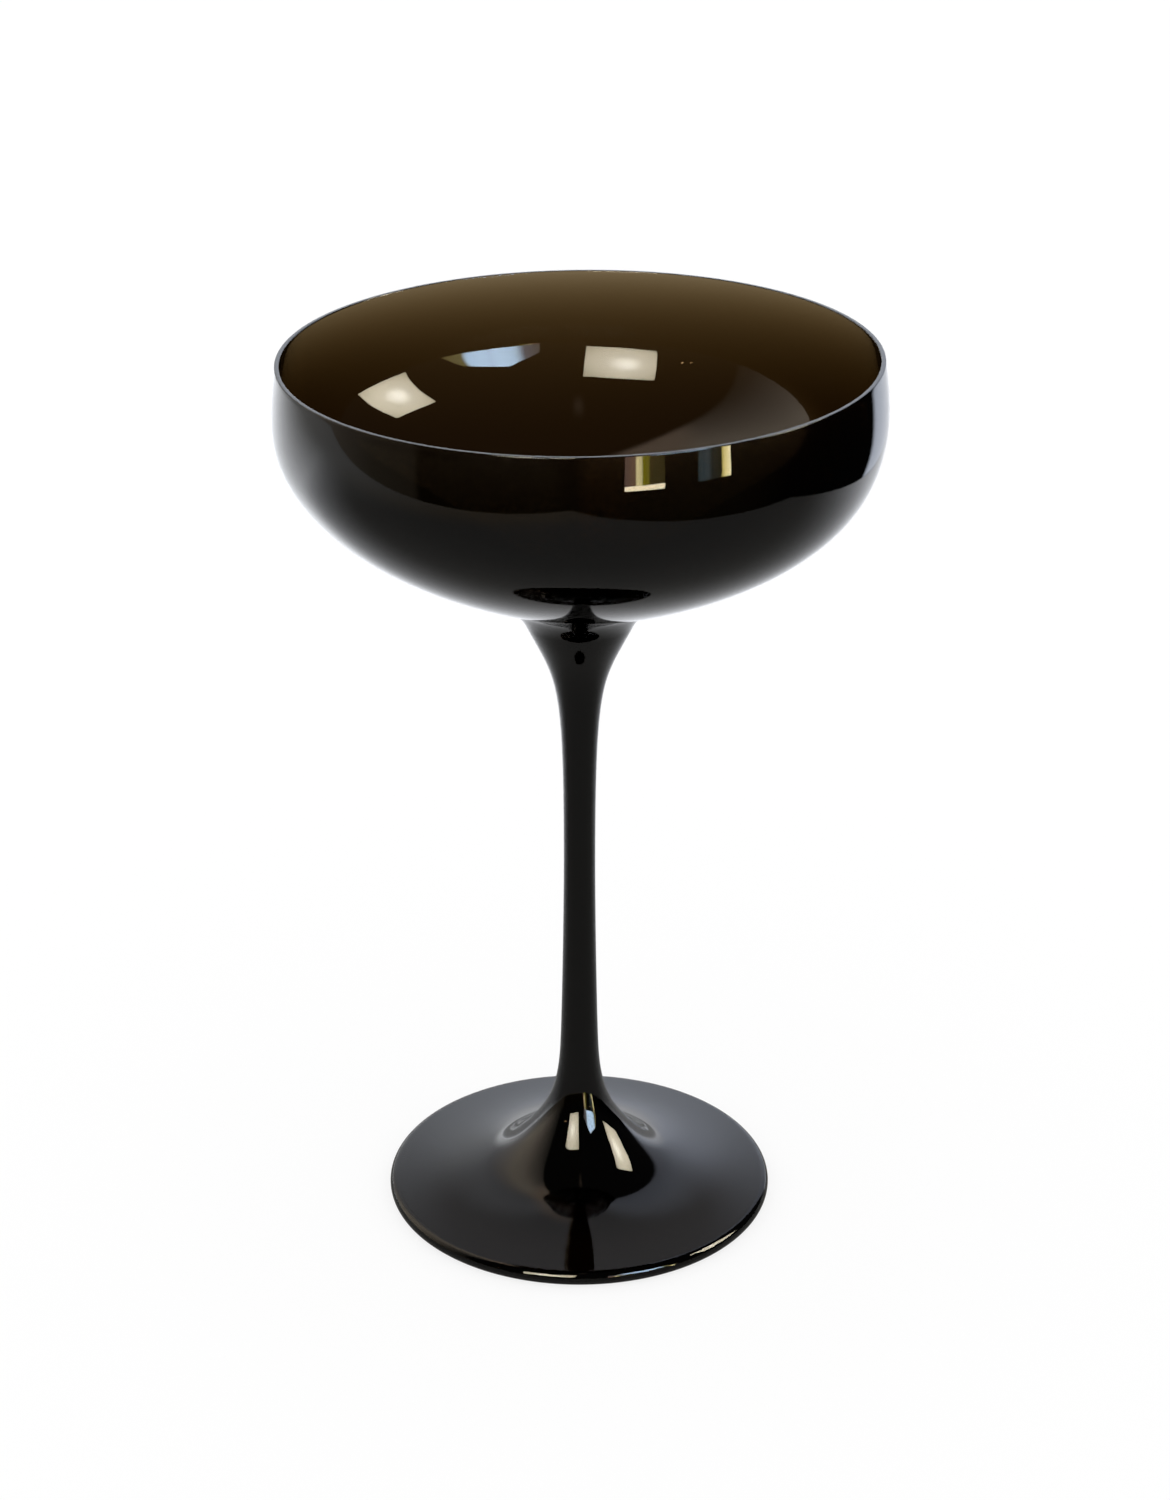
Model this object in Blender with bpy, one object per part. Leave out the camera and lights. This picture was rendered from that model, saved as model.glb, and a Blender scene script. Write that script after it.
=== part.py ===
"""Coupe: a stemmed cocktail glass in smoke glass, 165.5 mm tall, 104.5 mm across the rim.

It is made from three gathers of glass, fused hot: a blown bowl, a drawn stem and a cast foot. Each is a
half outline turned about the Z axis. The origin is the centre of the foot, on the surface the glass
stands on, with +Z up. Outline sizes are millimetres, as (radius, height). Blender's scene is in metres.
"""
import math
from collections import namedtuple

import bmesh
import bpy
from mathutils import Vector
from mathutils.geometry import interpolate_bezier

MM = 0.001

# A knot is a point that a curved outline passes through. Its heading is the way the outline runs there:
# 0 away from the axis, 90 up, 180 to the axis, 270 down. The two handles are the lengths of the curve's
# tangents before and after it. Points are counted on the stretch that ends at it.
Knot = namedtuple("Knot", "radius height heading handle_before handle_after points")

# Overall size
GLASS_HEIGHT = 165.5
RIM_RADIUS = 52.25
FOOT_RADIUS = 36.2

# Bowl
LIP_LEAN = 9.0                 # degrees from vertical, the wall leans in towards the lip
LIP_HANDLE = 3.3
LIP_WALL = 0.85                # wall thickness at the lip
LIP_ROUNDING = 0.2             # radius of the lip's two edges, which leave its top flat
WALL_GROWTH = 0.088            # extra wall for each millimetre just below the lip
WALL_DEPTH = 31.0              # below the lip by this much, the wall grows no more
WIDEST = Knot(53.2, 155.4, 270, 3.3, 17.3, 5)
BASE_RING = Knot(15.2, 121.8, 203, 21.5, 1.9, 15)          # the stem's flare meets the underside here
UNDERSIDE_DROP = 3.2           # from the base ring down to the axis
UNDERSIDE_HANDLE = 5.0

# Stem
CUP_RADIUS = 14.2              # edge of the cup that holds the bowl
CUP_EDGE = 0.35                # thickness of the cup's edge
FLARE_RING = Knot(9.75, 116.3, 244, 2.3, 12.7, 6)          # lower end of the fillet under the bowl
WAIST = Knot(2.9, 70.3, 270, 36.0, 12.4, 14)               # thinnest place
ANKLE = Knot(3.48, 33.4, 272, 5.2, 7.0, 6)                 # the shaft starts to spread into the foot

# Foot
JOINT_HEIGHT = 15.0            # stem's end, stuck on the raised centre of the foot
SPREAD = Knot(8.7, 13.8, 307, 8.0, 3.5, 9)                 # half way down the spread
INSTEP = Knot(18.0, 5.9, 341, 4.0, 6.0, 8)                 # the spread ends and the disc begins
EDGE_THICKNESS = 3.0
EDGE_HEADING = 356             # fall of the top surface at the rounded edge
EDGE_HANDLE = 6.0
CONTACT_INNER = 31.3           # inner radius of the flat ring that the glass rests on
CONTACT_SLOPE = 10.0           # degrees, where the hollow meets the flat ring
HOLLOW_DEPTH = 2.0             # at the centre of the underside
HOLLOW_HANDLES = (9.0, 12.0)

FUSED_GAP = 0.3                # kept between two gathers that are fused on the real glass

UNDERSIDE_POINTS = 6
LIP_POINTS = 4                 # on each of the lip's two edges
DISC_POINTS = 8
EDGE_POINTS = 9
BOWL_SEGMENTS = 48
FOOT_SEGMENTS = 40
STEM_SEGMENTS = 28


def heading(degrees):
    """Unit step in the outline's plane: 0 points away from the axis, 90 up, 180 to the axis, 270 down."""
    angle = math.radians(degrees)
    return Vector((math.cos(angle), math.sin(angle)))


def curve(first, last):
    """Bezier stretch between two knots, with both ends included."""
    start = Vector((first.radius, first.height))
    end = Vector((last.radius, last.height))
    start_handle = start + first.handle_after * heading(first.heading)
    end_handle = end - last.handle_before * heading(last.heading)
    return [p.copy() for p in interpolate_bezier(start, start_handle, end_handle, end, last.points)]


def arc(centre, radius, start, stop, points):
    """Round stretch about a centre, from one heading to another, with both ends included."""
    step = (stop - start) / (points - 1)
    return [Vector(centre) + radius * heading(start + step * i) for i in range(points)]


def join(*stretches):
    """One outline from stretches that share their end points."""
    outline = list(stretches[0])
    for stretch in stretches[1:]:
        outline.extend(stretch[1:])
    return outline


def split_at_height(outline, height):
    """The two parts of a falling outline, above and below a height."""
    below = next(i for i, point in enumerate(outline) if point.y < height)
    above_point, below_point = outline[below - 1], outline[below]
    share = (above_point.y - height) / (above_point.y - below_point.y)
    cut = above_point.lerp(below_point, share)
    return outline[:below] + [cut], [cut] + outline[below:]


def offset_inwards(outline, thickness_at):
    """The outline moved towards the inside of the bowl by a thickness that depends on height."""
    inner = []
    for i, point in enumerate(outline):
        before = outline[max(i - 1, 0)]
        after = outline[min(i + 1, len(outline) - 1)]
        along = (after - before).normalized()
        inward = Vector((along.y, -along.x))
        inner.append(point + thickness_at(point.y) * inward)
    return inner


def underside_of_bowl():
    """Hidden stretch of the bowl's underside, from the base ring to the axis."""
    ring = BASE_RING._replace(handle_after=UNDERSIDE_HANDLE)
    centre_height = BASE_RING.height - UNDERSIDE_DROP
    return curve(ring, Knot(0.0, centre_height, 180, UNDERSIDE_HANDLE, 0.0, UNDERSIDE_POINTS))


def wall_thickness(height):
    """Blown wall: thin at the lip, thicker below it, and even in the lower part of the bowl."""
    depth = min(GLASS_HEIGHT - height, WALL_DEPTH)
    return LIP_WALL + WALL_GROWTH * depth * (1 - depth / (2 * WALL_DEPTH))


def bowl_outline():
    """From the axis inside the bowl, up to the lip, and down the outer side to the axis."""
    edge_height = GLASS_HEIGHT - LIP_ROUNDING
    inner_centre = (RIM_RADIUS - LIP_WALL + LIP_ROUNDING, edge_height)
    outer_centre = (RIM_RADIUS - LIP_ROUNDING, edge_height)
    lip = arc(inner_centre, LIP_ROUNDING, 180 + LIP_LEAN, 90, LIP_POINTS)
    lip += arc(outer_centre, LIP_ROUNDING, 90, LIP_LEAN, LIP_POINTS)
    lip_outer = Knot(lip[-1].x, lip[-1].y, 270 + LIP_LEAN, 0.0, LIP_HANDLE, 0)
    outer = join(curve(lip_outer, WIDEST), curve(WIDEST, BASE_RING), underside_of_bowl())
    inner = offset_inwards(outer, wall_thickness)
    inner[0] = lip[0]
    inner[-1].x = 0.0
    return join(inner[::-1], lip, outer)


def outer_side_below_bowl():
    """Outer side of the stem and the foot, from the cup's edge down to the edge of the foot."""
    slope = math.tan(math.radians(BASE_RING.heading - 180))
    cup_top = BASE_RING.height - (BASE_RING.radius - CUP_RADIUS) * slope - FUSED_GAP
    cup_edge = BASE_RING._replace(radius=CUP_RADIUS, height=cup_top - CUP_EDGE)
    disc_radius = FOOT_RADIUS - EDGE_THICKNESS / 2
    disc_edge = Knot(disc_radius, EDGE_THICKNESS, EDGE_HEADING, EDGE_HANDLE, 0.0, DISC_POINTS)
    knots = (cup_edge, FLARE_RING, WAIST, ANKLE, SPREAD, INSTEP, disc_edge)
    return join(*[curve(upper, lower) for upper, lower in zip(knots, knots[1:])])


def stem_outline():
    """From the axis, out over the cup that holds the bowl, and down the outer side to the joint."""
    cup = [point - Vector((0, FUSED_GAP)) for point in reversed(underside_of_bowl())]
    cup = [point for point in cup if point.x < CUP_RADIUS - FUSED_GAP]
    side = split_at_height(outer_side_below_bowl(), JOINT_HEIGHT + FUSED_GAP / 2)[0]
    cup_rim = side[0] + Vector((0, CUP_EDGE))
    return cup + [cup_rim] + side + [Vector((0, side[-1].y))]


def foot_outline():
    """From the axis, over the joint, down the top of the disc, round its edge and under it to the axis."""
    top = split_at_height(outer_side_below_bowl(), JOINT_HEIGHT - FUSED_GAP / 2)[1]
    edge_radius = EDGE_THICKNESS / 2
    edge_centre = (FOOT_RADIUS - edge_radius, edge_radius)
    edge = arc(edge_centre, edge_radius, 90, -90, EDGE_POINTS)
    ring = Knot(CONTACT_INNER, 0.0, 180 - CONTACT_SLOPE, 0.0, HOLLOW_HANDLES[0], 0)
    hollow = curve(ring, Knot(0.0, HOLLOW_DEPTH, 180, HOLLOW_HANDLES[1], 0.0, DISC_POINTS))
    return [Vector((0, top[0].y))] + join(top, edge) + hollow


def smoke_glass(name, colour, roughness):
    """Principled glass, as dark as the piece is deep."""
    material = bpy.data.materials.new(name)
    material.use_nodes = True
    shader = material.node_tree.nodes["Principled BSDF"]
    shader.inputs["Base Color"].default_value = (*colour, 1.0)
    shader.inputs["Roughness"].default_value = roughness
    shader.inputs["Metallic"].default_value = 0.0
    shader.inputs["IOR"].default_value = 1.5
    shader.inputs["Transmission Weight"].default_value = 1.0
    material.diffuse_color = (*colour, 1.0)
    return material


def turned(name, outline, segments, material):
    """One closed body: the outline, whose ends lie on the axis, spun once round Z."""
    shape = bmesh.new()
    corners = [shape.verts.new((point.x * MM, 0.0, point.y * MM)) for point in outline]
    lines = [shape.edges.new(pair) for pair in zip(corners, corners[1:])]
    bmesh.ops.spin(
        shape, geom=corners + lines, cent=(0, 0, 0), axis=(0, 0, 1), angle=math.tau, steps=segments
    )
    bmesh.ops.remove_doubles(shape, verts=shape.verts, dist=0.001 * MM)
    bmesh.ops.recalc_face_normals(shape, faces=shape.faces)
    mesh = bpy.data.meshes.new(name)
    shape.to_mesh(mesh)
    shape.free()
    mesh.shade_smooth()
    mesh.set_sharp_from_angle(angle=math.radians(40))
    mesh.materials.append(material)
    piece = bpy.data.objects.new(name, mesh)
    bpy.context.collection.objects.link(piece)
    return piece


def build():
    for stray in list(bpy.data.objects):
        bpy.data.objects.remove(stray)
    bowl_glass = smoke_glass("bowl_glass", (0.115, 0.079, 0.038), 0.02)
    stem_glass = smoke_glass("stem_glass", (0.012, 0.010, 0.008), 0.02)
    foot_glass = smoke_glass("foot_glass", (0.025, 0.025, 0.027), 0.03)
    turned("bowl", bowl_outline(), BOWL_SEGMENTS, bowl_glass)
    turned("stem", stem_outline(), STEM_SEGMENTS, stem_glass)
    turned("foot", foot_outline(), FOOT_SEGMENTS, foot_glass)


build()
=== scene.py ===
"""Looks of the coupe: a stemmed cocktail glass in smoke glass, on a pale floor in soft studio light.

Three fine turned pieces stand for the three CAD nodes. The glass is clear at its surface, and its colour
comes from absorption, so it is pale at the thin lip and almost black where it is thick. Outline sizes are
millimetres, as (radius, height), and everything else is metres and degrees.
"""
import math
from collections import namedtuple

import bmesh
import bpy
from mathutils import Matrix, Vector
from mathutils.geometry import interpolate_bezier


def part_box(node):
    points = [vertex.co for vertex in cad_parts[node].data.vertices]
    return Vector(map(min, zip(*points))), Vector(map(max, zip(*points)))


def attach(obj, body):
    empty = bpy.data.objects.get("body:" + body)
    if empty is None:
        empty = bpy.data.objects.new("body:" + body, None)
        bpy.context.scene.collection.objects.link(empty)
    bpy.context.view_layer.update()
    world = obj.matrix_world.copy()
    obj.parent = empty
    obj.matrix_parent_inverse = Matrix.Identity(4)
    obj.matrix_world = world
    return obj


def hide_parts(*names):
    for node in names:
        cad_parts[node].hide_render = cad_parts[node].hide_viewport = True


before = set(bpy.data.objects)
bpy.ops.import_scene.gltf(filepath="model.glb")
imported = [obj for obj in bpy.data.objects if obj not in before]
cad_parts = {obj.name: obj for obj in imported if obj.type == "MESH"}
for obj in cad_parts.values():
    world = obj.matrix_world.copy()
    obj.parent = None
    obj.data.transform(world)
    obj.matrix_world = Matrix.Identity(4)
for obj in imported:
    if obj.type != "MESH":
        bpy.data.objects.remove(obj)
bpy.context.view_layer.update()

MM = 0.001

# A knot is a point that a curved outline passes through. Its heading is the way the outline runs there:
# 0 away from the axis, 90 up, 180 to the axis, 270 down. The two handles are the lengths of the curve's
# tangents before and after it. Points are counted on the stretch that ends at it.
Knot = namedtuple("Knot", "radius height heading handle_before handle_after points")

# Overall size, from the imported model
GLASS_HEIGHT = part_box("bowl")[1].z / MM
WIDEST_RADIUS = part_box("bowl")[1].x / MM
FOOT_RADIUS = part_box("foot")[1].x / MM

# Bowl
RIM_RADIUS = 52.25
LIP_LEAN = 9.0                 # degrees from vertical, the wall leans in towards the lip
LIP_HANDLE = 3.3
LIP_WALL = 0.85                # wall thickness at the lip
LIP_ROUNDING = 0.2             # radius of the lip's two edges, which leave its top flat
WALL_GROWTH = 0.088            # extra wall for each millimetre just below the lip
WALL_DEPTH = 31.0              # below the lip by this much, the wall grows no more
WIDEST = Knot(WIDEST_RADIUS, 155.4, 270, 3.3, 17.3, 16)
BASE_RING = Knot(15.2, 121.8, 203, 21.5, 1.9, 56)          # the stem's flare meets the underside here
UNDERSIDE_DROP = 3.2           # from the base ring down to the axis
UNDERSIDE_HANDLE = 5.0

# The bowl was blown by hand: its rim slopes a little, and its lower wall bulges to the right
RIM_TILT = 0.62                # degrees, higher on the right
TILT_FROM, TILT_TO = 140.0, 158.0                          # heights between which the tilt sets in
BULGE = 0.95                   # sideways shift of the lower wall
BULGE_FROM, BULGE_TO = 122.0, 126.0                        # heights between which it sets in
BULGE_FADE, BULGE_END = 130.0, 152.0                       # and between which it dies away

# Stem
STEM_ROOT = 0.15               # how far the stem is sunk into the bowl it is fused to
FLARE_RING = Knot(9.75, 116.3, 244, 2.3, 12.7, 20)         # lower end of the fillet under the bowl
WAIST = Knot(2.9, 70.3, 270, 36.0, 12.4, 48)               # thinnest place
ANKLE = Knot(3.48, 33.4, 272, 5.2, 7.0, 20)                # the shaft starts to spread into the foot

# Foot
JOINT_HEIGHT = 15.0            # stem's end, stuck on the raised centre of the foot
SPREAD = Knot(8.7, 13.8, 307, 8.0, 3.5, 36)                # half way down the spread
INSTEP = Knot(18.0, 5.9, 341, 4.0, 6.0, 28)                # the spread ends and the disc begins
EDGE_THICKNESS = 3.0
EDGE_HEADING = 356             # fall of the top surface at the rounded edge
EDGE_HANDLE = 6.0
CONTACT_INNER = 31.3           # inner radius of the flat ring that the glass rests on
CONTACT_SLOPE = 10.0           # degrees, where the hollow meets the flat ring
HOLLOW_DEPTH = 2.0             # at the centre of the underside
HOLLOW_HANDLES = (9.0, 12.0)

UNDERSIDE_POINTS = 16
LIP_POINTS = 8                 # on each of the lip's two edges
DISC_POINTS = 28
EDGE_POINTS = 24
BOWL_SEGMENTS = 256
STEM_SEGMENTS = 128
FOOT_SEGMENTS = 224
WELD = 0.001                   # points of an outline that are closer than this are one point
SHARP_ANGLE = 40               # degrees, between faces whose edge stays crisp

# Glass
GLASS_IOR = 1.5
SMOKE_DENSITY = 2980.0                     # absorption of blue light, for each metre
SMOKE_COLOUR = (0.349, 0.2315, 0.0)        # red and green are absorbed less, so thin glass is olive
CLOUDING = 0.03                            # greatest roughness, in faint smudges
SMUDGE_SCALE = 45.0                        # smudges for each metre
SMUDGE_FROM, SMUDGE_TO = 0.45, 0.75        # noise values between which a smudge sets in
RIPPLE_SCALE = 30.0                        # ripples for each metre
RIPPLE_DEPTH = 0.00002

# Camera
CAMERA_PLACE = (0.0, -0.5348, 0.3363)
CAMERA_PITCH = 24.617          # degrees below level
CAMERA_PAN = 0.104             # degrees to the right
CAMERA_ROLL = 0.095            # degrees
CAMERA_SENSOR = 36.0           # mm, along the picture's longer side, its height
CAMERA_LENS = 78.15            # mm

# Stage
FLOOR_RADIUS = 8.0
FLOOR_SEGMENTS = 64
FLOOR_SINK = 0.00005           # keeps the floor clear of the foot's flat ring
FLOOR_ALBEDO = 0.9
SHADOW = 0.2                   # how much of the soft contact shadow the floor keeps
DOME = 1.16                    # brightness of the studio all round, which lights the floor
REACH = 3.0                    # how far away the soft boxes and the windows stand
EYE = Vector((0.0, 0.0, 0.14)) # they are placed as seen from here, inside the bowl


# ---------------------------------------------------------------- outlines

def heading(degrees):
    """Unit step in the outline's plane: 0 points away from the axis, 90 up, 180 to the axis, 270 down."""
    angle = math.radians(degrees)
    return Vector((math.cos(angle), math.sin(angle)))


def curve(first, last):
    """Bezier stretch between two knots, with both ends included."""
    start = Vector((first.radius, first.height))
    end = Vector((last.radius, last.height))
    start_handle = start + first.handle_after * heading(first.heading)
    end_handle = end - last.handle_before * heading(last.heading)
    return [p.copy() for p in interpolate_bezier(start, start_handle, end_handle, end, last.points)]


def arc(centre, radius, start, stop, points):
    """Round stretch about a centre, from one heading to another, with both ends included."""
    step = (stop - start) / (points - 1)
    return [Vector(centre) + radius * heading(start + step * i) for i in range(points)]


def join(*stretches):
    """One outline from stretches that share their end points."""
    outline = list(stretches[0])
    for stretch in stretches[1:]:
        outline.extend(stretch[1:])
    return outline


def split_at_height(outline, height):
    """The two parts of a falling outline, above and below a height."""
    below = next(i for i, point in enumerate(outline) if point.y < height)
    above_point, below_point = outline[below - 1], outline[below]
    share = (above_point.y - height) / (above_point.y - below_point.y)
    cut = above_point.lerp(below_point, share)
    return outline[:below] + [cut], [cut] + outline[below:]


def offset_inwards(outline, thickness_at):
    """The outline moved towards the inside of the bowl by a thickness that depends on height."""
    inner = []
    for i, point in enumerate(outline):
        before = outline[max(i - 1, 0)]
        after = outline[min(i + 1, len(outline) - 1)]
        along = (after - before).normalized()
        inward = Vector((along.y, -along.x))
        inner.append(point + thickness_at(point.y) * inward)
    return inner


def wall_thickness(height):
    """Blown wall: thin at the lip, thicker below it, and even in the lower part of the bowl."""
    depth = min(GLASS_HEIGHT - height, WALL_DEPTH)
    return LIP_WALL + WALL_GROWTH * depth * (1 - depth / (2 * WALL_DEPTH))


def underside_of_bowl():
    """Stretch of the bowl's underside that the stem covers, from the base ring to the axis."""
    ring = BASE_RING._replace(handle_after=UNDERSIDE_HANDLE)
    centre_height = BASE_RING.height - UNDERSIDE_DROP
    return curve(ring, Knot(0.0, centre_height, 180, UNDERSIDE_HANDLE, 0.0, UNDERSIDE_POINTS))


def bowl_outline():
    """From the axis inside the bowl, up to the lip, and down the outer side to the axis."""
    edge_height = GLASS_HEIGHT - LIP_ROUNDING
    inner_centre = (RIM_RADIUS - LIP_WALL + LIP_ROUNDING, edge_height)
    outer_centre = (RIM_RADIUS - LIP_ROUNDING, edge_height)
    lip = arc(inner_centre, LIP_ROUNDING, 180 + LIP_LEAN, 90, LIP_POINTS)
    lip += arc(outer_centre, LIP_ROUNDING, 90, LIP_LEAN, LIP_POINTS)
    lip_outer = Knot(lip[-1].x, lip[-1].y, 270 + LIP_LEAN, 0.0, LIP_HANDLE, 0)
    outer = join(curve(lip_outer, WIDEST), curve(WIDEST, BASE_RING), underside_of_bowl())
    inner = offset_inwards(outer, wall_thickness)
    inner[0] = lip[0]
    inner[-1].x = 0.0
    return join(inner[::-1], lip, outer)


def outer_side_below_bowl():
    """Outer side of the stem and the foot, from the base ring down to the edge of the foot."""
    disc_radius = FOOT_RADIUS - EDGE_THICKNESS / 2
    disc_edge = Knot(disc_radius, EDGE_THICKNESS, EDGE_HEADING, EDGE_HANDLE, 0.0, DISC_POINTS)
    knots = (BASE_RING, FLARE_RING, WAIST, ANKLE, SPREAD, INSTEP, disc_edge)
    return join(*[curve(upper, lower) for upper, lower in zip(knots, knots[1:])])


def stem_outline():
    """From the axis, out under the bowl that it is sunk into, and down the outer side to the joint."""
    root = [point + Vector((0, STEM_ROOT)) for point in reversed(underside_of_bowl())]
    side = split_at_height(outer_side_below_bowl(), JOINT_HEIGHT)[0]
    return root + side + [Vector((0, JOINT_HEIGHT))]


def foot_outline():
    """From the axis, over the joint, down the top of the disc, round its edge and under it to the axis."""
    top = split_at_height(outer_side_below_bowl(), JOINT_HEIGHT)[1]
    edge_radius = EDGE_THICKNESS / 2
    edge_centre = (FOOT_RADIUS - edge_radius, edge_radius)
    edge = arc(edge_centre, edge_radius, 90, -90, EDGE_POINTS)
    ring = Knot(CONTACT_INNER, 0.0, 180 - CONTACT_SLOPE, 0.0, HOLLOW_HANDLES[0], 0)
    hollow = curve(ring, Knot(0.0, HOLLOW_DEPTH, 180, HOLLOW_HANDLES[1], 0.0, DISC_POINTS))
    return [Vector((0, JOINT_HEIGHT))] + join(top, edge) + hollow


def eased(value, low, high):
    """0 below low and 1 above high, with a smooth step between them."""
    share = min(max((value - low) / (high - low), 0.0), 1.0)
    return share * share * (3 - 2 * share)


def blown_by_hand(point):
    """Where a point of the perfectly round bowl lies on the real one."""
    height = point.z / MM
    bulge = eased(height, BULGE_FROM, BULGE_TO) * (1 - eased(height, BULGE_FADE, BULGE_END))
    tilt = math.tan(math.radians(RIM_TILT)) * eased(height, TILT_FROM, TILT_TO)
    return Vector((point.x + BULGE * MM * bulge, point.y, point.z + point.x * tilt))


def turned(name, outline, segments, material, reshape=None):
    """One closed body: the outline, whose ends lie on the axis, spun once round Z."""
    shape = bmesh.new()
    corners = [shape.verts.new((point.x * MM, 0.0, point.y * MM)) for point in outline]
    lines = [shape.edges.new(pair) for pair in zip(corners, corners[1:])]
    bmesh.ops.spin(
        shape, geom=corners + lines, cent=(0, 0, 0), axis=(0, 0, 1), angle=math.tau, steps=segments
    )
    bmesh.ops.remove_doubles(shape, verts=shape.verts, dist=WELD * MM)
    bmesh.ops.recalc_face_normals(shape, faces=shape.faces)
    if reshape:
        for corner in shape.verts:
            corner.co = reshape(corner.co)
    mesh = bpy.data.meshes.new(name)
    shape.to_mesh(mesh)
    shape.free()
    mesh.shade_smooth()
    mesh.set_sharp_from_angle(angle=math.radians(SHARP_ANGLE))
    mesh.materials.append(material)
    piece = bpy.data.objects.new(name, mesh)
    bpy.context.collection.objects.link(piece)
    return piece


# ---------------------------------------------------------------- shader helpers

class Nodes:
    """Adds nodes to a tree. A socket takes a number, a colour or another node's output."""

    def __init__(self, tree):
        self.tree = tree

    def feed(self, socket, value):
        if isinstance(value, bpy.types.NodeSocket):
            self.tree.links.new(value, socket)
        else:
            socket.default_value = value

    def add(self, kind, inputs=(), **settings):
        """One node of a kind, from (socket, value) pairs and the node's own settings."""
        node = self.tree.nodes.new(kind)
        for name, value in settings.items():
            setattr(node, name, value)
        for socket, value in inputs:
            self.feed(node.inputs[socket], value)
        return node

    def math(self, operation, *values):
        return self.add("ShaderNodeMath", enumerate(values), operation=operation).outputs[0]

    def ramp(self, value, low, high, at_low=0.0, at_high=1.0):
        """A number that goes smoothly from at_low to at_high, as the value goes from low to high."""
        inputs = (("Value", value), (1, low), (2, high), (3, at_low), (4, at_high))
        return self.add("ShaderNodeMapRange", inputs, interpolation_type="SMOOTHSTEP").outputs[0]

    def blend(self, share, first, second):
        """Colour that goes from the first to the second, as the share goes from 0 to 1."""
        inputs = ((0, share), (6, first), (7, second))
        return self.add("ShaderNodeMix", inputs, data_type="RGBA").outputs[2]

    def split(self, vector):
        """X, Y and Z of a vector."""
        return self.add("ShaderNodeSeparateXYZ", ((0, vector),)).outputs

    def bands(self, value, stops):
        """Colour that changes with a value from 0 to 1, from (value, colour) stops in order."""
        node = self.add("ShaderNodeValToRGB", ((0, value),))
        band = node.color_ramp
        while len(band.elements) < len(stops):
            band.elements.new(1.0)
        for element, (position, colour) in zip(band.elements, stops):
            element.position = position
            element.color = colour
        return node.outputs[0]


def tone(brightness, red=1.0, green=1.0, blue=1.0):
    """Colour for a socket."""
    return (brightness * red, brightness * green, brightness * blue, 1.0)


def direction(azimuth, elevation):
    """Unit vector. Azimuth 0 points to the camera's side, -Y, and 90 to +X. Both are in degrees."""
    turn, lift = math.radians(azimuth), math.radians(elevation)
    return Vector((math.sin(turn) * math.cos(lift), -math.cos(turn) * math.cos(lift), math.sin(lift)))


# ---------------------------------------------------------------- glass

def smoke_glass(name):
    """Clear surface over dark glass, with the faint smudges and ripples of hand-made glass."""
    material = bpy.data.materials.new(name)
    material.use_nodes = True
    tree = material.node_tree
    nodes = Nodes(tree)
    shader = tree.nodes["Principled BSDF"]
    shader.inputs["Base Color"].default_value = tone(1.0)
    shader.inputs["IOR"].default_value = GLASS_IOR
    shader.inputs["Transmission Weight"].default_value = 1.0
    place = nodes.add("ShaderNodeTexCoord").outputs["Object"]
    smudge = nodes.add("ShaderNodeTexNoise", (("Vector", place), ("Scale", SMUDGE_SCALE), ("Detail", 4.0)))
    roughness = nodes.ramp(smudge.outputs[0], SMUDGE_FROM, SMUDGE_TO, 0.0, CLOUDING)
    tree.links.new(roughness, shader.inputs["Roughness"])
    ripple = nodes.add("ShaderNodeTexNoise", (("Vector", place), ("Scale", RIPPLE_SCALE), ("Detail", 1.0)))
    bump = nodes.add(
        "ShaderNodeBump", (("Height", ripple.outputs[0]), ("Strength", 1.0), ("Distance", RIPPLE_DEPTH))
    )
    tree.links.new(bump.outputs[0], shader.inputs["Normal"])
    smoke = nodes.add(
        "ShaderNodeVolumeAbsorption", (("Color", (*SMOKE_COLOUR, 1.0)), ("Density", SMOKE_DENSITY))
    )
    tree.links.new(smoke.outputs[0], tree.nodes["Material Output"].inputs["Volume"])
    return material


# ---------------------------------------------------------------- stage

def reflected(nodes):
    """1 for light that the glass has reflected, and 0 for what is seen directly or through the glass."""
    path = nodes.add("ShaderNodeLightPath")
    return nodes.math("GREATER_THAN", path.outputs["Glossy Depth"], 0.5)


# The table top that reflections see has three straight edges. Each is the direction that it faces,
# level, and its distance from the foot's centre in metres.
RIGHT_FRONT_EDGE = ((0.783, -0.622), 0.358)
LEFT_FRONT_EDGE = ((-0.595, -0.804), 0.515)
RIGHT_BACK_EDGE = ((0.918, 0.397), 0.331)
EDGE_BLUR = 0.006

# How bright the table top glows in reflections, as painted light, and the places in metres where that
# changes
NEAR_GLOW = tone(0.205, 1.02, 1.0, 0.95)
WARM_GLOW = tone(0.29, 1.0, 0.85, 0.65)                    # in front, towards the left edge
WARM_BAND = (-0.24, -0.04)                                 # measured past that edge, so on the table
BACK_GLOW = tone(1.12, 0.98, 1.0, 1.05)
LEFT_BACK_GLOW = tone(1.65, 0.98, 1.0, 1.04)
LEFT_BACK_DEPTHS = (0.08, 0.20)
FAR_LEFT_GLOW = tone(0.52, 1.0, 1.0, 0.97)
FAR_LEFT_SIDE = (-0.25, -0.85)
LEFT_SIDE = (-0.02, -0.15)
BACK_FROM = -0.03
BACK_TO_ON_RIGHT = 0.27
BACK_TO_ON_LEFT = 0.20


def beyond_edge(nodes, x, y, edge):
    """How far a place on the floor lies past an edge of the table."""
    (face_x, face_y), distance = edge
    across = nodes.math("MULTIPLY", x, face_x)
    along = nodes.math("MULTIPLY", y, face_y)
    return nodes.math("SUBTRACT", nodes.math("ADD", across, along), distance)


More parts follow.
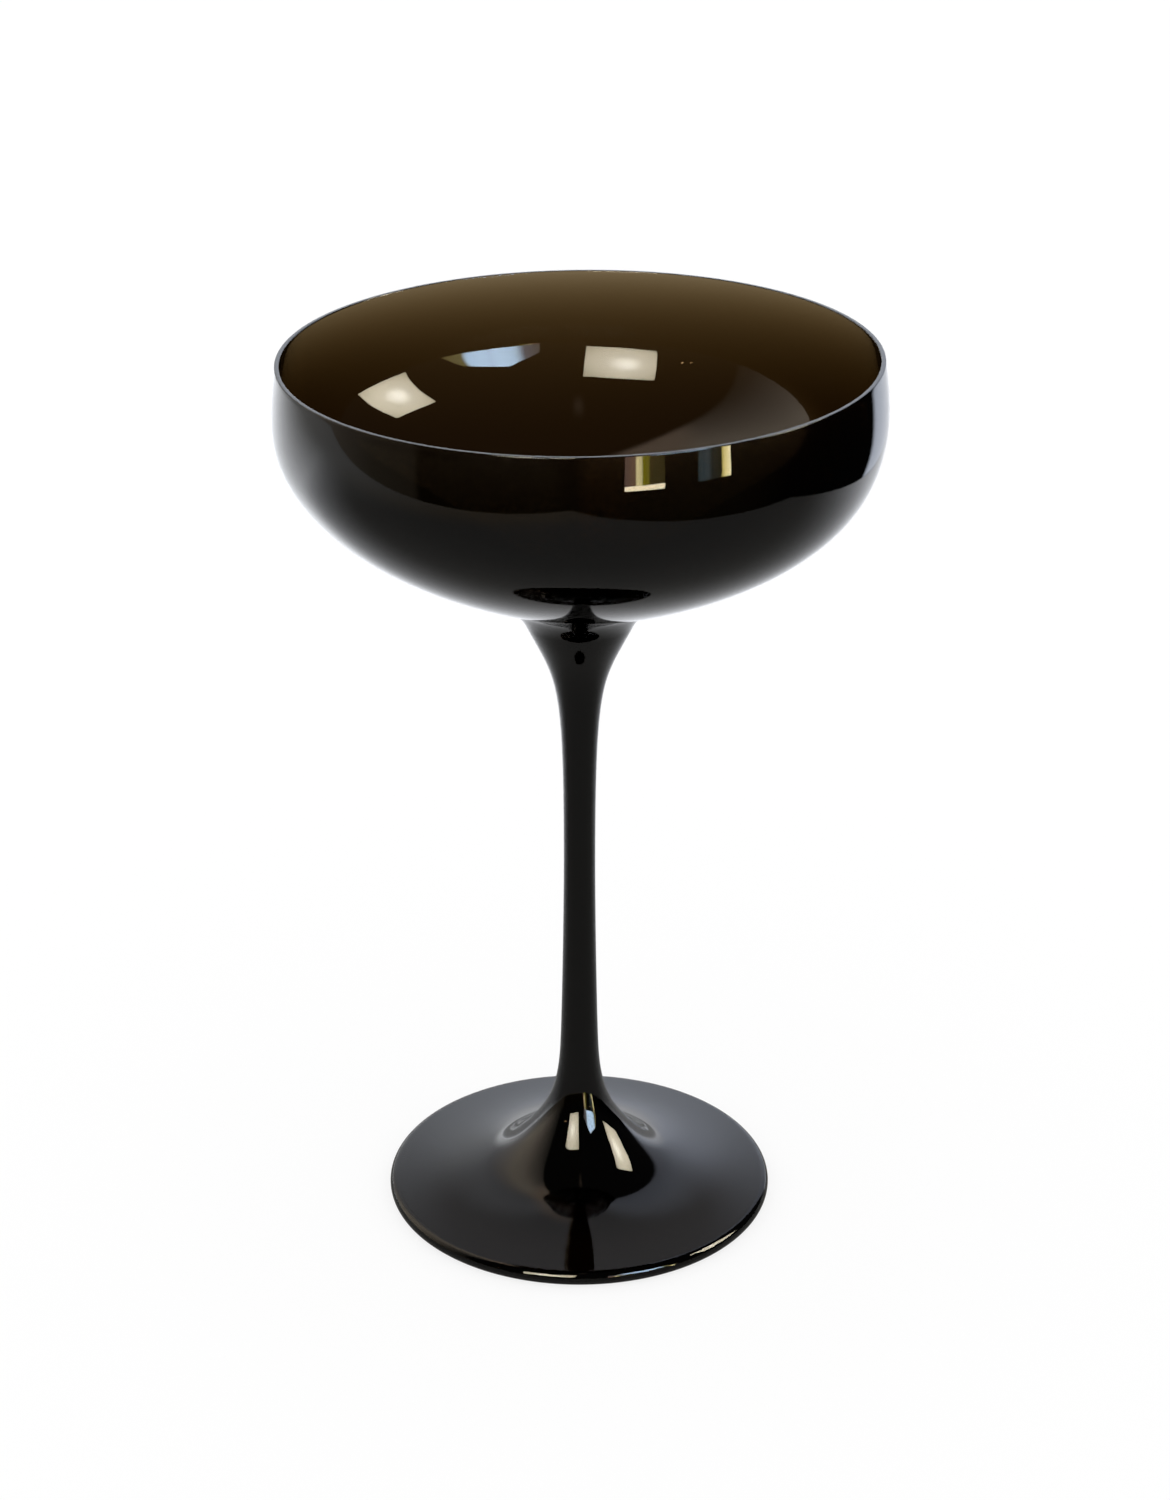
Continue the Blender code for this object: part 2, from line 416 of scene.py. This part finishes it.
def floor():
    """Pale floor. In reflections it is a table top with painted light: a glow that is brighter behind, and
    it ends in front.
    """
    shape = bmesh.new()
    bmesh.ops.create_circle(shape, cap_ends=True, segments=FLOOR_SEGMENTS, radius=FLOOR_RADIUS)
    bmesh.ops.translate(shape, verts=shape.verts, vec=(0, 0, -FLOOR_SINK))
    mesh = bpy.data.meshes.new("floor")
    shape.to_mesh(mesh)
    shape.free()
    material = bpy.data.materials.new("floor")
    material.use_nodes = True
    tree = material.node_tree
    nodes = Nodes(tree)
    shader = tree.nodes["Principled BSDF"]
    shader.inputs["Base Color"].default_value = tone(FLOOR_ALBEDO)
    shader.inputs["Roughness"].default_value = 1.0
    shader.inputs["Specular IOR Level"].default_value = 0.0

    white = nodes.add("ShaderNodeEmission", (("Color", tone(1.0)),))
    lit = nodes.add("ShaderNodeMixShader", ((0, SHADOW), (1, white.outputs[0]), (2, shader.outputs[0])))

    x, y = nodes.split(nodes.add("ShaderNodeTexCoord").outputs["Object"])[:2]
    past_right_front = beyond_edge(nodes, x, y, RIGHT_FRONT_EDGE)
    past_left_front = beyond_edge(nodes, x, y, LEFT_FRONT_EDGE)
    past_right_back = beyond_edge(nodes, x, y, RIGHT_BACK_EDGE)
    past_other_two = nodes.math("MAXIMUM", past_left_front, past_right_back)
    furthest = nodes.math("MAXIMUM", past_right_front, past_other_two)
    on_table = nodes.ramp(furthest, -EDGE_BLUR, EDGE_BLUR, 1.0, 0.0)
    # Painted light: the table top's light and shade, given as a glow that only reflections see
    near = nodes.blend(nodes.ramp(past_left_front, *WARM_BAND), NEAR_GLOW, WARM_GLOW)
    left_back = nodes.math("MULTIPLY", nodes.ramp(x, *LEFT_SIDE), nodes.ramp(y, *LEFT_BACK_DEPTHS))
    back = nodes.blend(left_back, BACK_GLOW, LEFT_BACK_GLOW)
    back_to = nodes.ramp(x, *LEFT_SIDE, BACK_TO_ON_RIGHT, BACK_TO_ON_LEFT)
    near_to_back = nodes.blend(nodes.ramp(y, BACK_FROM, back_to), near, back)
    table_tone = nodes.blend(nodes.ramp(x, *FAR_LEFT_SIDE), near_to_back, FAR_LEFT_GLOW)
    table_glow = nodes.add("ShaderNodeEmission", (("Color", table_tone),))
    beyond = nodes.add("ShaderNodeBsdfTransparent")
    reflection = nodes.add(
        "ShaderNodeMixShader", ((0, on_table), (1, beyond.outputs[0]), (2, table_glow.outputs[0]))
    )
    mix = nodes.add(
        "ShaderNodeMixShader", ((0, reflected(nodes)), (1, lit.outputs[0]), (2, reflection.outputs[0]))
    )
    tree.links.new(mix.outputs[0], tree.nodes["Material Output"].inputs["Surface"])
    material.cycles.emission_sampling = "NONE"
    mesh.materials.append(material)
    plane = bpy.data.objects.new("floor", mesh)
    bpy.context.collection.objects.link(plane)


# The room that reflections see, all the way round from behind, by azimuth: below eye level and above it.
ROOM_BELOW = (
    (-180, tone(1.15, 1.0, 1.02, 1.05)),
    (-160, tone(1.50, 1.0, 1.03, 1.05)),
    (-140, tone(0.95, 1.0, 1.00, 1.02)),
    (-120, tone(0.52, 1.0, 0.97, 0.88)),
    (-100, tone(0.34, 1.0, 0.86, 0.70)),
    (-80, tone(0.19, 1.0, 0.85, 0.60)),
    (-62, tone(0.15, 1.0, 0.80, 0.55)),
    (-59, tone(0.022, 1.0, 0.75, 0.35)),
    (60, tone(0.030, 1.0, 0.80, 0.45)),
    (80, tone(0.006)),
    (135, tone(0.004)),
    (139, tone(1.45, 1.0, 1.08, 1.25)),
    (160, tone(1.15, 1.0, 1.03, 1.10)),
    (180, tone(1.15, 1.0, 1.02, 1.05)),
)
ROOM_ABOVE = (
    (-180, tone(1.28, 1.0, 1.06, 1.18)),
    (-165, tone(0.95, 1.0, 1.03, 1.08)),
    (-150, tone(0.60, 1.0, 1.00, 1.04)),
    (-136, tone(0.80, 1.0, 0.92, 0.84)),
    (-122, tone(1.20, 1.0, 0.87, 0.70)),
    (-108, tone(1.15, 1.0, 0.86, 0.69)),
    (-90, tone(0.62, 1.0, 0.86, 0.70)),
    (-74, tone(0.20, 1.0, 0.90, 0.75)),
    (-58, tone(0.025, 1.0, 0.95, 0.85)),
    (132, tone(0.022)),
    (137, tone(0.60, 1.0, 1.05, 1.22)),
    (150, tone(0.65, 1.0, 1.07, 1.25)),
    (165, tone(1.15, 1.0, 1.07, 1.25)),
    (180, tone(1.28, 1.0, 1.06, 1.18)),
)
DARK_ROOM = tone(0.022, 1.0, 0.95, 0.85)
OVER_BACKDROP = tone(0.38, 1.0, 0.98, 1.0)
OVERHEAD = tone(1.1, 1.0, 0.77, 0.58)      # the upper end of the screen that leans over from the left
SCREEN_SIDE = (-0.440, 0.887, -0.140)      # square to the plane of the eye and the screen's edge
SCREEN_BLUR = 0.05                         # width of that edge, as a share of the unit vector
LEFT_HALF = (0.06, -0.02)                  # X of a unit vector, as the right half becomes the left half

# Azimuths (from the front) and elevations, in degrees, between which one part of the room becomes the next
BEHIND = (148, 168)
BACKDROP_TOP = (23, 40)
OVERHEAD_START = (58, 70)
RIGHT_SIDE_TOP = (80, 68)
EYE_LEVEL = (0, 12)


def studio():
    """White dome for the floor and for what shows through the glass.

    Reflections see a dim room instead, with a bright end behind the glass, and a pale screen that leans
    over it from the left.
    """
    world = bpy.data.worlds.new("studio")
    bpy.context.scene.world = world
    world.use_nodes = True
    tree = world.node_tree
    nodes = Nodes(tree)
    towards = nodes.add("ShaderNodeTexCoord").outputs["Generated"]
    x, y, z = nodes.split(towards)
    lift = nodes.math("DEGREES", nodes.math("ARCSINE", z))
    bearing = nodes.math("DEGREES", nodes.math("ARCTAN2", x, nodes.math("MULTIPLY", y, -1.0)))
    turn = nodes.math("DIVIDE", nodes.math("ADD", bearing, 180.0), 360.0)
    below = nodes.bands(turn, [((azimuth + 180) / 360, colour) for azimuth, colour in ROOM_BELOW])
    above = nodes.bands(turn, [((azimuth + 180) / 360, colour) for azimuth, colour in ROOM_ABOVE])

    behind = nodes.ramp(nodes.math("ABSOLUTE", bearing), *BEHIND)
    over_backdrop = nodes.math("MULTIPLY", behind, nodes.ramp(lift, *BACKDROP_TOP))
    above = nodes.blend(over_backdrop, above, OVER_BACKDROP)
    on_left = nodes.ramp(x, *LEFT_HALF)
    overhead = nodes.math("MULTIPLY", on_left, nodes.ramp(lift, *OVERHEAD_START))
    above = nodes.blend(overhead, above, OVERHEAD)
    past_edge = nodes.add(
        "ShaderNodeVectorMath", ((0, towards), (1, SCREEN_SIDE)), operation="DOT_PRODUCT"
    ).outputs["Value"]
    lit_on_left = nodes.math("MULTIPLY", on_left, nodes.ramp(past_edge, 0.0, SCREEN_BLUR))
    on_right = nodes.math("SUBTRACT", 1.0, on_left)
    lit_on_right = nodes.math("MULTIPLY", on_right, nodes.ramp(lift, *RIGHT_SIDE_TOP))
    lit_above = nodes.math("ADD", lit_on_left, lit_on_right)
    above = nodes.blend(lit_above, DARK_ROOM, above)

    room = nodes.blend(nodes.ramp(lift, *EYE_LEVEL), below, above)
    colour = nodes.blend(reflected(nodes), tone(DOME), room)
    tree.links.new(colour, tree.nodes["Background"].inputs["Color"])
    world.cycles.sampling_method = "NONE"          # so that every ray finds the room by its own path


def card(name, corners, material):
    """A light in the room that only reflections see.

    Its corners are azimuths and elevations from the bowl, and its UV map runs from 0 to 1 across both.
    """
    azimuths = [azimuth for azimuth, elevation in corners]
    elevations = [elevation for azimuth, elevation in corners]
    width = max(azimuths) - min(azimuths)
    height = max(elevations) - min(elevations)
    shape = bmesh.new()
    layer = shape.loops.layers.uv.new("card")
    face = shape.faces.new([shape.verts.new(EYE + REACH * direction(*corner)) for corner in corners])
    for loop, (azimuth, elevation) in zip(face.loops, corners):
        loop[layer].uv = ((azimuth - min(azimuths)) / width, (elevation - min(elevations)) / height)
    mesh = bpy.data.meshes.new(name)
    shape.to_mesh(mesh)
    shape.free()
    mesh.materials.append(material)
    plane = bpy.data.objects.new(name, mesh)
    bpy.context.collection.objects.link(plane)
    plane.visible_camera = False
    plane.visible_diffuse = False
    plane.visible_transmission = False
    plane.visible_shadow = False


def upright(azimuth, elevation, width, height):
    """Corners of a four-sided card, from its middle and its size as seen from the bowl, in degrees."""
    low, high = elevation - height / 2, elevation + height / 2
    corners = []
    for side, level in ((-1, low), (1, low), (1, high), (-1, high)):
        corners.append((azimuth + side * width / 2, level))
    return corners


def light_material(name, paint):
    """Glow for the first reflection only. Paint makes its colour from the card's UV place."""
    material = bpy.data.materials.new(name)
    material.use_nodes = True
    tree = material.node_tree
    nodes = Nodes(tree)
    tree.nodes.remove(tree.nodes["Principled BSDF"])
    place = nodes.add("ShaderNodeUVMap").outputs[0]
    glow = nodes.add("ShaderNodeEmission", (("Color", paint(nodes, place)), ("Strength", 1.0)))
    clear = nodes.add("ShaderNodeBsdfTransparent")
    depth = nodes.add("ShaderNodeLightPath").outputs["Glossy Depth"]
    again = nodes.math("GREATER_THAN", depth, 1.5)
    mix = nodes.add("ShaderNodeMixShader", ((0, again), (1, glow.outputs[0]), (2, clear.outputs[0])))
    tree.links.new(mix.outputs[0], tree.nodes["Material Output"].inputs["Surface"])
    material.cycles.emission_sampling = "NONE"
    return material


def soft_box(nodes, place):
    """Even cloth with a hot centre, a little dimmer at the edges."""
    middle = (0.5, 0.5, 0.0)
    hot = tone(21.0, 1.0, 0.94, 0.80)
    even = tone(12.5, 1.0, 0.90, 0.68)
    dim = tone(8.0, 1.0, 0.88, 0.62)
    distance = nodes.add(
        "ShaderNodeVectorMath", ((0, place), (1, middle)), operation="DISTANCE"
    ).outputs["Value"]
    cloth = nodes.blend(nodes.ramp(distance, 0.3, 0.7), even, dim)
    return nodes.blend(nodes.ramp(distance, 0.02, 0.30), hot, cloth)


def sky(nodes, place):
    """Daylight above the windows, with trees at both sides and a thin glazing bar."""
    across = nodes.split(place)[0]
    return nodes.bands(across, (
        (0.00, tone(1.3, 1.0, 0.85, 0.75)),
        (0.16, tone(1.9, 1.0, 0.95, 1.05)),
        (0.27, tone(9.0, 1.0, 1.33, 1.68)),
        (0.47, tone(10.5, 1.0, 1.33, 1.70)),
        (0.50, tone(7.6, 1.0, 1.28, 1.75)),
        (0.53, tone(10.0, 1.0, 1.34, 1.72)),
        (0.72, tone(9.0, 1.0, 1.36, 1.78)),
        (0.78, tone(2.3, 1.0, 0.88, 0.38)),
        (1.00, tone(1.6, 1.0, 0.82, 0.30)),
    ))


def near_window(nodes, place):
    """From the left: a curtain, sunlit leaves and a dim room behind the glass, over a bright sill."""
    across, up = nodes.split(place)[:2]
    sill_top = (0.075, 0.095)
    sill = tone(19.0, 1.0, 0.84, 0.56)
    view = nodes.bands(across, (
        (0.00, tone(1.7, 1.0, 0.62, 0.52)),
        (0.26, tone(2.4, 1.0, 0.60, 0.36)),
        (0.30, tone(12.5, 1.0, 0.83, 0.41)),
        (0.42, tone(9.5, 1.0, 0.87, 0.41)),
        (0.46, tone(2.6, 1.0, 0.85, 0.04)),
        (0.58, tone(2.5, 1.0, 0.85, 0.10)),
        (0.64, tone(0.7, 1.0, 0.76, 0.25)),
        (1.00, tone(0.6, 1.0, 0.80, 0.25)),
    ))
    return nodes.blend(nodes.ramp(up, *sill_top), sill, view)


def far_window(nodes, place):
    """From the left: a blue-grey view, a dim part and a sunlit wall at the right."""
    across = nodes.split(place)[0]
    return nodes.bands(across, (
        (0.00, tone(0.45, 1.0, 1.45, 1.60)),
        (0.30, tone(0.60, 1.0, 1.35, 1.45)),
        (0.42, tone(0.32, 1.0, 1.05, 0.85)),
        (0.70, tone(0.32, 1.0, 0.90, 0.45)),
        (0.76, tone(12.0, 1.0, 0.80, 0.24)),
        (1.00, tone(19.0, 1.0, 0.88, 0.50)),
    ))


def lamp(nodes, place):
    """Even warm light."""
    return tone(9.0, 1.0, 0.62, 0.30)


# Corners, or middle and size, of the lights, and the middles of three small lamps that are seen far away
RIGHT_BOX = ((75, 13.8), (102, 13.8), (103.5, 40), (79.3, 45))
FRONT_BOX = ((-31.5, 12.8), (-2.8, 12.2), (-1.2, 43.6), (-35.5, 40.5))
SKY = ((16, 9), (57.5, 9), (49.8, 23.4), (31.2, 30.4), (16.3, 18))
NEAR_WINDOW = (22.6, 0.1, 14.3, 17.6)
FAR_WINDOW = (48.3, 0.3, 12.5, 17.4)
LAMPS = ((-43.3, 19.6), (-47.0, 18.0), (40.3, 5.7))
LAMP_SIZE = 1.0


def lights():
    """Two soft boxes, two windows with the sky above them, and the lamps."""
    cloth = light_material("soft_box_light", soft_box)
    card("soft_box_right", RIGHT_BOX, cloth)
    card("soft_box_front", FRONT_BOX, cloth)
    card("window_sky", SKY, light_material("sky_light", sky))
    card("window_near", upright(*NEAR_WINDOW), light_material("near_window_light", near_window))
    card("window_far", upright(*FAR_WINDOW), light_material("far_window_light", far_window))
    bulb = light_material("lamp_light", lamp)
    for azimuth, elevation in LAMPS:
        card("lamp", upright(azimuth, elevation, LAMP_SIZE, LAMP_SIZE), bulb)


def camera():
    """Looks down at the glass from the front, all of it in focus."""
    lens = bpy.data.cameras.new("camera")
    lens.lens = CAMERA_LENS
    lens.sensor_width = CAMERA_SENSOR
    view = bpy.data.objects.new("camera", lens)
    bpy.context.collection.objects.link(view)
    turn = Matrix.Rotation(math.radians(-CAMERA_PAN), 3, "Z")
    tilt = Matrix.Rotation(math.radians(90 - CAMERA_PITCH), 3, "X")
    roll = Matrix.Rotation(math.radians(CAMERA_ROLL), 3, "Z")
    view.rotation_euler = (turn @ tilt @ roll).to_euler()
    view.location = CAMERA_PLACE
    bpy.context.scene.camera = view


def glass():
    """The three pieces, each in place of its CAD node."""
    pieces = (
        ("blown_bowl", "bowl", bowl_outline(), BOWL_SEGMENTS, blown_by_hand),
        ("drawn_stem", "stem", stem_outline(), STEM_SEGMENTS, None),
        ("cast_foot", "foot", foot_outline(), FOOT_SEGMENTS, None),
    )
    for name, node, outline, segments, reshape in pieces:
        material = smoke_glass(node + "_glass_look")
        piece = turned(name, outline, segments, material, reshape)
        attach(piece, "root")
        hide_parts(node)


glass()
floor()
studio()
lights()
camera()
bpy.context.scene.view_settings.view_transform = "Standard"
